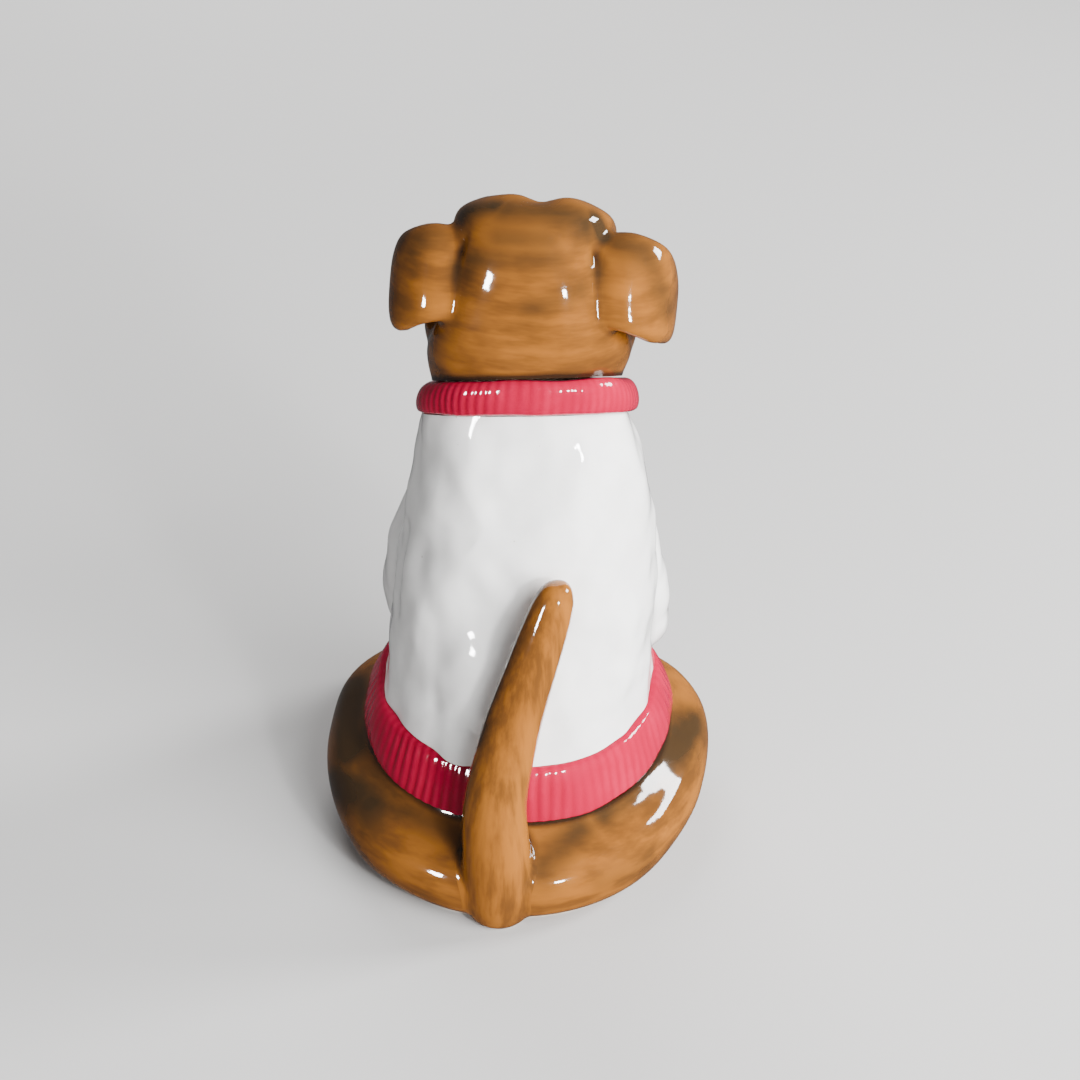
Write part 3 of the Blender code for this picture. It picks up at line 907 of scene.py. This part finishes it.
def rubber():
    """Black rubber with a grey bloom and a fine grain."""
    material, graph, shader = new_glaze("soft_rubber")
    place = graph.place()
    bloom = graph.grain(place, 120.0, 4.0, 0.6)
    colour = graph.colour_mix(bloom.rise(0.35, 0.75), *RUBBER)
    dress(graph, shader, colour, 0.55 + bloom * 0.3, graph.grain(place, 1500.0, 2.0), 0.1 * MM)
    return material


def rib_tree(glaze):
    """Geometry nodes that press knitted ribs across a band, unevenly, as hand work does."""
    tree = bpy.data.node_groups.new("knitted_ribs", "GeometryNodeTree")
    slots = tree.interface
    slots.new_socket("Geometry", in_out="INPUT", socket_type="NodeSocketGeometry")
    for label, default in (("Ribs", 80.0), ("Depth", 1.0 * MM), ("Unevenness", 0.5)):
        slots.new_socket(label, in_out="INPUT", socket_type="NodeSocketFloat").default_value = default
    slots.new_socket("Geometry", in_out="OUTPUT", socket_type="NodeSocketGeometry")
    graph = Graph(tree)
    band = graph.node("NodeGroupInput", None, None, "Geometry")
    given = band.socket.node.outputs
    ribs, depth, unevenness = (Link(graph, given[label]) for label in ("Ribs", "Depth", "Unevenness"))
    around, outside = (
        graph.node("GeometryNodeInputNamedAttribute", {"data_type": "FLOAT"}, {"Name": label})
        for label in ("around", "outside")
    )
    place = graph.node("GeometryNodeInputPosition")
    drift = graph.grain(place, 38.0, 1.0)
    sideways = graph.node("ShaderNodeSeparateXYZ", None, {"Vector": place}, "X").rise(-22 * MM, 8 * MM)
    firm = (graph.grain(place, 34.0, 1.0).rise(0.38, 0.60) * 0.75 + 0.25) * (sideways * 0.7 + 0.3)
    turns = (around * ribs + (drift - 0.5) * unevenness) * math.pi
    crest = turns.maths("ABSOLUTE", turns.maths("SINE", turns)).power(1.2)
    hollow = (crest - 1.0) * firm
    fall = hollow * depth * outside
    normal = graph.node("GeometryNodeInputNormal")
    offset = graph.node("ShaderNodeVectorMath", {"operation": "SCALE"}, {"Vector": normal, "Scale": fall})
    pressed = graph.node("GeometryNodeSetPosition", None, {"Geometry": band, "Offset": offset})
    marked = graph.node(
        "GeometryNodeStoreNamedAttribute",
        {"data_type": "FLOAT", "domain": "POINT"},
        {"Geometry": pressed, "Name": "rib", "Value": 1.0 + hollow},
    )
    real = graph.node("GeometryNodeRealizeInstances", None, {"Geometry": marked})
    dressed = graph.node("GeometryNodeSetMaterial", None, {"Geometry": real, "Material": glaze})
    graph.node("NodeGroupOutput", None, {"Geometry": dressed}, None)
    return tree


def press_ribs(mesh, tree, ribs, depth, unevenness):
    """The band after the rib tree has worked on it."""
    helper = placed("band", mesh)
    modifier = helper.modifiers.new("Ribs", "NODES")
    modifier.node_group = tree
    values = {"Ribs": float(ribs), "Depth": depth, "Unevenness": unevenness}
    for item in tree.interface.items_tree:
        if item.name in values:
            modifier[item.identifier] = values[item.name]
    return taken_from(helper)


# ---------------------------------------------------------------- sizes and colours a user may change


def colour_setting(name, description, default):
    return bpy.props.FloatVectorProperty(
        name=name, description=description, subtype="COLOR", size=3, min=0.0, max=1.0, default=default
    )


def length_setting(name, description, default):
    return bpy.props.FloatProperty(
        name=name, description=description, default=default, min=0.0, subtype="DISTANCE", unit="LENGTH"
    )


def count_setting(name, description, default, low):
    return bpy.props.IntProperty(name=name, description=description, default=default, min=low)


def power_setting(name, description, default):
    return bpy.props.FloatProperty(
        name=name, description=description, default=default, min=0.0, unit="POWER"
    )


def angle_setting(name, description, degrees):
    return bpy.props.FloatProperty(
        name=name, description=description, default=math.radians(degrees), subtype="ANGLE", unit="ROTATION"
    )


class CoinBankGlazes(bpy.types.PropertyGroup):
    """The colours of the glazes."""

    amber: colour_setting("Amber", "Brown glaze where it is thin", (0.235, 0.084, 0.012))
    brown: colour_setting("Brown", "Brown glaze at its usual thickness", (0.118, 0.042, 0.008))
    # Dark Brown colours the brushwork and the painted shade alike.
    dark_brown: colour_setting("Dark Brown", "Brushed strokes over the brown glaze", (0.034, 0.019, 0.008))
    # The crease colour also stands for painted shade in the creases.
    crease: colour_setting("Crease", "Brown glaze pooled in a crease", (0.012, 0.006, 0.004))
    white: colour_setting("White", "Glaze of the sweater", (0.87, 0.865, 0.85))
    red: colour_setting("Red", "Glaze of the ribbed bands", (0.34, 0.0008, 0.029))
    deep_red: colour_setting("Deep Red", "Glaze between the ribs", (0.21, 0.0005, 0.013))
    black: colour_setting("Black", "Glaze of the eyes and the nose", (0.010, 0.008, 0.007))


class CoinBankSizes(bpy.types.PropertyGroup):
    """The sizes of the clay and of the ribs."""

    grain: length_setting("Grain", "Spacing of the corners of the sculpted skins", 0.85 * MM)
    rounding: count_setting("Rounding", "How many times the creases are smoothed over", 9, 0)
    unevenness: length_setting("Unevenness", "Depth of the soft bumps of hand work", 0.55 * MM)
    hem_ribs: count_setting("Hem Ribs", "Ribs round the hem", 88, 12)
    collar_ribs: count_setting("Collar Ribs", "Ribs round the collar", 72, 12)
    cuff_ribs: count_setting("Cuff Ribs", "Ribs round a cuff", 30, 8)
    rib_depth: length_setting("Rib Depth", "How far the grooves go in between the ribs", 0.55 * MM)


class CoinBankStage(bpy.types.PropertyGroup):
    """The floor, the lights and the camera."""

    floor: colour_setting("Floor", "Colour of the floor", (0.46, 0.455, 0.45))
    key_power: power_setting("Key Light", "Power of the softbox above", 30.0)
    left_power: power_setting("Left Light", "Power of the tall softbox on the left", 40.0)
    right_power: power_setting("Right Light", "Power of the small softbox on the right", 13.0)
    fill_power: power_setting("Fill Light", "Power of the wide soft light from behind", 88.0)
    azimuth: angle_setting("Azimuth", "Where the camera stands round the dog", 184.5)
    elevation: angle_setting("Elevation", "How high the camera stands", 30.0)
    roll: angle_setting("Roll", "How far the camera leans", 1.6)
    view: angle_setting("Field of View", "Angle that the camera takes in", 26.6)
    distance: length_setting("Distance", "From the camera to the point it looks at", 0.70)


def hand_glazes():
    """The glazes, made once and found again by name."""
    made = bpy.data.materials
    if "head_glaze" not in made:
        colours = bpy.context.scene.coin_bank_glazes
        for name, (turn, stretch) in BRUSHES.items():
            brown_glaze(name, turn, stretch, colours)
        white_glaze(colours)
        red_glaze(colours)
        black_glaze(colours)
        rubber()
    return made


# ---------------------------------------------------------------- the pieces


def head_cavity():
    rings = [ring(HEAD[0], -WALL, -BELOW_CAVITY)]
    for place in np.linspace(0, len(HEAD) - 1, CAVITY_RINGS):
        section = between(HEAD, place)
        if section.half_width > NARROWEST:
            lowered = section._replace(height=section.height - WALL * place / len(HEAD))
            rings.append(ring(lowered, -WALL))
    return loft("head_cavity", rings)


def head_clay(sizes):
    """The whole head as one skin: skull, brows, cheeks, muzzle and ears, with the coin slot cut through."""
    neck = ring(HEAD[0], 0.0, -BELOW_NECK)
    solids = [loft("skull", [neck, *stack(HEAD, (0, len(HEAD) - 1), HEAD_RINGS)])]
    for place, half_sizes, paired in HEAD_SWELLINGS:
        for side in (1, -1) if paired else (1,):
            solids.append(egg("swelling", place, half_sizes, side))
    solids += [ear_solid("ear", *shape) for shape in EAR_SIDES.values()]
    clay = melt("head_clay", solids, sizes.grain, sizes.rounding // 2)
    press(clay, FACE_STROKES)
    make_uneven(clay, HEAD_BUMPS, sizes.unevenness)
    slot_low = (-SLOT_WIDTH / 2, SLOT_BACK - SLOT_LENGTH, HEAD[2].height)
    slot_high = (SLOT_WIDTH / 2, SLOT_BACK, HEAD[-1].height + ABOVE_SLOT)
    clay = without(clay, box("slot", slot_low, slot_high))
    clay = melt("head_clay", [clay], sizes.grain, SLOT_ROUNDING)
    mark_skin(clay, [NECK_SEAM], HEAD_BRUSHWORK_AND_SHADE)
    return clay


class COINBANK_OT_head(bpy.types.Operator):
    """Sculpt the head with its ears and muzzle"""

    bl_idname = "coinbank.head"
    bl_label = "Head, Ears and Muzzle"

    def execute(self, context):
        clay = head_clay(context.scene.coin_bank_sizes)
        below = loft("below", [ring(HEAD[0], BEYOND, -BEYOND), ring(HEAD[0], BEYOND)])
        clay = without(clay, glazed_over(below), head_cavity())
        head = clay
        for name, shape in EAR_SIDES.items():
            region = ear_solid("region", *shape, grow=EAR_MARGIN)
            finish_piece(f"ear_{name}", within(clay, region), "head_glaze")
            head = without(head, region)
        region = egg("region", *MUZZLE_REGION)
        finish_piece("muzzle", within(clay, region), "head_glaze")
        finish_piece("head", without(head, region), "head_glaze")
        return {"FINISHED"}


class COINBANK_OT_features(bpy.types.Operator):
    """Model the eyes and the nose"""

    bl_idname = "coinbank.features"
    bl_label = "Eyes and Nose"

    def execute(self, context):
        finish_piece("nose", egg("nose", *NOSE), "glossy_black")
        for name, side in SIDES.items():
            finish_piece(f"eye_{name}", egg("eye", *EYE, side), "glossy_black")
        return {"FINISHED"}


class COINBANK_OT_sweater(bpy.types.Operator):
    """Sculpt the sweater with its sleeves"""

    bl_idname = "coinbank.sweater"
    bl_label = "Sweater and Sleeves"

    def execute(self, context):
        sizes = context.scene.coin_bank_sizes
        solids = [loft("torso", stack(BODY, TORSO_SPAN, TORSO_RINGS))]
        solids += [tube("sleeve", SLEEVE, side) for side in SIDES.values()]
        clay = melt("sweater_clay", solids, sizes.grain, sizes.rounding)
        press(clay, SWEATER_STROKES)
        for bumps in SWEATER_BUMPS:
            make_uneven(clay, bumps, sizes.unevenness)
        mark_skin(clay, SWEATER_SEAMS)
        clay = without(clay, loft("hollow", stack(BODY, HOLLOW_SPAN, HOLLOW_RINGS, -WALL)))
        torso = within(clay, slab("sweater", BODY[HEM_TOP], BODY[COLLAR_LOW]))
        for name, side in SIDES.items():
            region = tube("region", SLEEVE, side, SLEEVE_MARGIN)
            finish_piece(f"sleeve_{name}", within(clay, region), "glossy_white")
            torso = without(torso, region)
        finish_piece("torso", torso, "glossy_white")
        return {"FINISHED"}


def note_rings(mesh, points, outside, glazed):
    """Stores on a band how far round each corner is, how far out its ring is, and if the ring is glazed."""
    store(mesh, "around", np.tile(np.arange(points) / points, len(outside)))
    store(mesh, "outside", np.repeat(outside, points))
    store(mesh, "glazed", np.repeat(glazed, points))


def band_of_body(name, low, top, height, ribs):
    """A hollow band round the body. Its inside is bare clay, and its edges are glazed."""
    points = ribs * RIB_POINTS
    shares = np.linspace(0, 1, BAND_RINGS)
    swell = np.sin(math.pi * shares) ** BAND_ROUNDNESS
    rings = [
        ring(between(BODY, low + share * (top - low)), height * out, points=points)
        for share, out in zip(shares, swell)
    ]
    rings.append(ring(BODY[top], -WALL / 2, points=points))
    rings += stack(BODY, (top, low), BAND_INNER_RINGS, -WALL, points)
    rings.append(ring(BODY[low], -WALL / 2, points=points))
    mesh = loft(name, rings, closed_profile=True)
    outside = np.zeros(len(rings))
    outside[:BAND_RINGS] = swell
    glazed = np.ones(len(rings))
    glazed[BAND_RINGS + 1 : -1] = 0.0
    note_rings(mesh, points, outside, glazed)
    return mesh


def band_of_cuff(name, side, ribs):
    """A band round a sleeve's end."""
    points = ribs * RIB_POINTS
    shares = np.linspace(0, 1, CUFF_RINGS)
    rows = np.array([between(CUFF, share * (len(CUFF) - 1)) for share in shares])
    centres = rows[:, :3] * (side, 1, 1) * MM
    turn = hoop(centres[-1] - centres[0], points)
    mesh = loft(name, [centre + radius * MM * turn for centre, radius in zip(centres, rows[:, 3])])
    outside = np.sin(math.pi * np.clip(shares, CUFF_EDGE, 1 - CUFF_EDGE)) ** CUFF_ROUNDNESS
    note_rings(mesh, points, outside, np.ones(len(rows)))
    return mesh


class COINBANK_OT_bands(bpy.types.Operator):
    """Build the ribbed collar, hem and cuffs"""

    bl_idname = "coinbank.bands"
    bl_label = "Ribbed Bands"

    def execute(self, context):
        sizes = context.scene.coin_bank_sizes
        tree = rib_tree(hand_glazes()["glossy_red"])
        hem = band_of_body("hem", HEM_LOW, HEM_TOP, BAND_PROUD, sizes.hem_ribs)
        collar = band_of_body("collar", COLLAR_LOW, COLLAR_TOP, COLLAR_PROUD, sizes.collar_ribs)
        bands = [
            ("hem_band", hem, sizes.hem_ribs, sizes.rib_depth),
            ("collar_band", collar, sizes.collar_ribs, COLLAR_RIB_SHARE * sizes.rib_depth),
        ]
        for name, side in SIDES.items():
            cuff = band_of_cuff("cuff", side, sizes.cuff_ribs)
            bands.append((f"cuff_{name}", cuff, sizes.cuff_ribs, sizes.rib_depth))
        for name, band, ribs, depth in bands:
            make_uneven(band, BAND_BUMPS, sizes.unevenness)
            finish_piece(name, press_ribs(band, tree, ribs, depth, RIB_DRIFT), "glossy_red")
        return {"FINISHED"}


def ground():
    """All that would be under the floor, to be cut away from what stands on it."""
    return box("ground", *GROUND)


def hips_cavity():
    """The hollow of the hips above their floor."""
    floor_height = FLOOR_RECESS + WALL
    rings = [ring(between(BODY, LOW)._replace(height=floor_height), -FLOOR_EDGE)]
    for place in np.linspace(*CAVITY_SPAN, CAVITY_RINGS):
        section = between(BODY, place)
        if section.height > floor_height + MM:
            rings.append(ring(section, -WALL))
    return loft("hips_cavity", rings)


def cuts_in_hips():
    """What is cut from the hips: all above the seam, the hollow, the recess inside the foot and the hole."""
    seam = BODY[HEM_LOW]
    above = loft("above", [ring(seam, BEYOND), ring(seam, BEYOND, ABOVE_HIPS)])
    recess = [ring(BODY[FOOT]._replace(height=height), -FOOT_RING_WIDTH) for height in (-MM, FLOOR_RECESS)]
    hole = [circle(HOLE_RADIUS, height) for height in HOLE_REACH]
    return glazed_over(above), hips_cavity(), loft("recess", recess), loft("hole", hole)


class COINBANK_OT_hindquarters(bpy.types.Operator):
    """Sculpt the hips with the tail and the hind feet"""

    bl_idname = "coinbank.hindquarters"
    bl_label = "Hips, Tail and Hind Feet"

    def execute(self, context):
        sizes = context.scene.coin_bank_sizes
        base = ring(BODY[FOOT], 0.0, -BELOW_FOOT)
        solids = [loft("hips", [base, *stack(BODY, HIPS_SPAN, HIPS_RINGS)])]
        solids.append(tube("tail", TAIL, 1))
        solids += [egg("foot", *HIND_FOOT, side) for side in SIDES.values()]
        clay = melt("hind_clay", solids, sizes.grain, sizes.rounding)
        press(clay, HIND_STROKES + toe_strokes(*HIND_FOOT, 1) + toe_strokes(*HIND_FOOT, -1))
        make_uneven(clay, HIND_BUMPS, sizes.unevenness)
        mark_skin(clay, [HIPS_SEAM], HIND_BRUSHWORK_AND_SHADE)
        clay = without(clay, ground())
        region = tube("region", TAIL, 1, TAIL_MARGIN)
        finish_piece("tail", within(clay, region), "tail_glaze")
        hips = without(clay, region)
        for name, side in SIDES.items():
            region = egg("region", *HIND_FOOT, side, FOOT_MARGIN)
            finish_piece(f"hind_foot_{name}", within(clay, region), "hip_glaze")
            hips = without(hips, region)
        finish_piece("hips", without(hips, *cuts_in_hips()), "hip_glaze")
        return {"FINISHED"}


class COINBANK_OT_forepaws(bpy.types.Operator):
    """Sculpt the forepaws"""

    bl_idname = "coinbank.forepaws"
    bl_label = "Forepaws"

    def execute(self, context):
        sizes = context.scene.coin_bank_sizes
        for name, side in SIDES.items():
            clay = melt("paw_clay", [egg("paw", *FOREPAW, side)], PAW_GRAIN * sizes.grain, PAW_ROUNDING)
            press(clay, toe_strokes(*FOREPAW, side))
            make_uneven(clay, PAW_BUMPS, sizes.unevenness)
            mark_skin(clay, full_depth=PAW_CREASE_DEPTH)
            finish_piece(f"forepaw_{name}", without(clay, ground()), "hip_glaze")
        return {"FINISHED"}


class COINBANK_OT_stopper(bpy.types.Operator):
    """Build the rubber stopper"""

    bl_idname = "coinbank.stopper"
    bl_label = "Stopper"

    def execute(self, context):
        mesh = loft("stopper", [circle(radius * MM, height * MM) for radius, height in STOPPER_PROFILE])
        finish_piece("stopper", mesh, "soft_rubber", "rubber", "stopper")
        return {"FINISHED"}


def add_softbox(softbox, power):
    """A rectangular light that fills in the shade, is mirrored in the glaze, or does both."""
    light = bpy.data.lights.new(softbox.name, "AREA")
    light.shape = "RECTANGLE"
    light.size, light.size_y = softbox.size
    light.energy = power
    made = placed(softbox.name, light)
    made.location = softbox.place
    made.rotation_euler = (Vector(LIT_PLACE) - Vector(softbox.place)).to_track_quat("-Z", "Y").to_euler()
    made.visible_diffuse = softbox.fills
    made.visible_glossy = softbox.mirrored


class COINBANK_OT_stage(bpy.types.Operator):
    """Set the floor, the softboxes and the camera"""

    bl_idname = "coinbank.stage"
    bl_label = "Stage"

    def execute(self, context):
        settings = context.scene.coin_bank_stage
        self.lay_floor(settings)
        for softbox in SOFTBOXES:
            add_softbox(softbox, getattr(settings, softbox.power) * softbox.share)
        world = bpy.data.worlds.new("studio")
        world.use_nodes = True
        background = world.node_tree.nodes["Background"]
        background.inputs["Color"].default_value = SKY
        background.inputs["Strength"].default_value = SKY_STRENGTH
        context.scene.world = world
        self.place_camera(context, settings)
        return {"FINISHED"}

    def lay_floor(self, settings):
        floor = bpy.data.meshes.new("floor")
        sides = ((-1, -1), (1, -1), (1, 1), (-1, 1))
        floor.from_pydata([(FLOOR_REACH * x, FLOOR_REACH * y, 0) for x, y in sides], [], [range(len(sides))])
        material, graph, shader = new_glaze("floor_paint")
        cloud = graph.grain(graph.place(), 9.0)
        pale = opaque(settings.floor)
        colour = graph.colour_mix(cloud, pale, opaque([FLOOR_SHADE * value for value in pale]))
        dress(graph, shader, colour, 0.7 + cloud * 0.1, graph.grain(graph.place(), 400.0), 0.05 * MM)
        floor.materials.append(material)
        made = placed("floor", floor)
        made.visible_glossy = False

    def place_camera(self, context, settings):
        lens = bpy.data.cameras.new("camera")
        lens.angle = settings.view
        made = placed("camera", lens)
        azimuth, elevation = settings.azimuth, settings.elevation
        level = math.cos(elevation)
        backwards = Vector((math.sin(azimuth) * level, -math.cos(azimuth) * level, math.sin(elevation)))
        target = Vector(CAMERA_TARGET)
        facing = backwards.to_track_quat("Z", "Y").to_matrix() @ Matrix.Rotation(settings.roll, 3, "Z")
        made.matrix_world = Matrix.Translation(target + backwards * settings.distance) @ facing.to_4x4()
        context.scene.camera = made


class COINBANK_PT_panel(bpy.types.Panel):
    """The coin bank's pieces, its sizes and its colours"""

    bl_idname = "COINBANK_PT_panel"
    bl_label = "Ceramic Dog Coin Bank"
    bl_space_type = "VIEW_3D"
    bl_region_type = "UI"
    bl_category = "Coin Bank"

    def draw(self, context):
        for operator in OPERATORS:
            self.layout.operator(operator.bl_idname)
        scene = context.scene
        for settings in (scene.coin_bank_glazes, scene.coin_bank_sizes, scene.coin_bank_stage):
            column = self.layout.column()
            for name in settings.__annotations__:
                column.prop(settings, name)


OPERATORS = (
    COINBANK_OT_head,
    COINBANK_OT_features,
    COINBANK_OT_sweater,
    COINBANK_OT_bands,
    COINBANK_OT_hindquarters,
    COINBANK_OT_forepaws,
    COINBANK_OT_stopper,
    COINBANK_OT_stage,
)
CLASSES = (CoinBankGlazes, CoinBankSizes, CoinBankStage, *OPERATORS, COINBANK_PT_panel)


def register():
    for made in CLASSES:
        bpy.utils.register_class(made)
    bpy.types.Scene.coin_bank_glazes = bpy.props.PointerProperty(type=CoinBankGlazes)
    bpy.types.Scene.coin_bank_sizes = bpy.props.PointerProperty(type=CoinBankSizes)
    bpy.types.Scene.coin_bank_stage = bpy.props.PointerProperty(type=CoinBankStage)


def unregister():
    del bpy.types.Scene.coin_bank_stage
    del bpy.types.Scene.coin_bank_sizes
    del bpy.types.Scene.coin_bank_glazes
    for made in reversed(CLASSES):
        bpy.utils.unregister_class(made)


def main():
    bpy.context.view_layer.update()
    register()
    bpy.ops.coinbank.head()
    bpy.ops.coinbank.features()
    bpy.ops.coinbank.sweater()
    bpy.ops.coinbank.bands()
    bpy.ops.coinbank.hindquarters()
    bpy.ops.coinbank.forepaws()
    bpy.ops.coinbank.stopper()
    bpy.ops.coinbank.stage()


if __name__ == "__main__":
    main()
